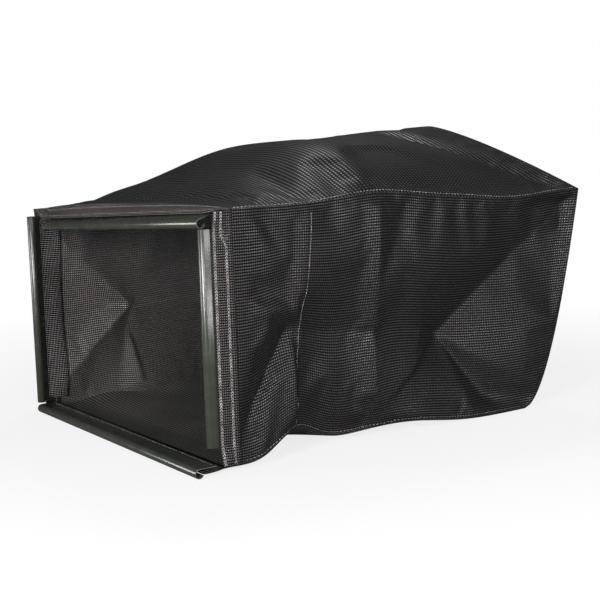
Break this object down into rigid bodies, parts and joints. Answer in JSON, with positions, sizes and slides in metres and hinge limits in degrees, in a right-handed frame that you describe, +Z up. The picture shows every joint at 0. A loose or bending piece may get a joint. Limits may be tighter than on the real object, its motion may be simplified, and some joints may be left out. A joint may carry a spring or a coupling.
{
  "type": "grass collection bag",
  "caption": "Soft woven mesh bag, an open box with a slack crowned top and slanted rear, with vinyl clip channels around its mouth that snap over a mower's wire frame.",
  "frame": {"origin": "on the ground, under the middle of the bag's bounding box", "axes": "+X across the mouth, +Y from the mouth to the rear, +Z up"},
  "size_m": [0.4566, 0.5842, 0.3646],
  "materials": {
    "woven_mesh": "coated open mesh weave, slight sheen",
    "extruded_vinyl": "glossy extruded vinyl"
  },
  "bodies": {
    "root": {"top_panel": "woven_mesh", "bottom_panel": "woven_mesh", "left_side_panel": "woven_mesh", "right_side_panel": "woven_mesh", "rear_panel": "woven_mesh", "left_clip": "extruded_vinyl", "right_clip": "extruded_vinyl", "top_clip": "extruded_vinyl", "bottom_clip": "extruded_vinyl"}
  },
  "joints": []
}
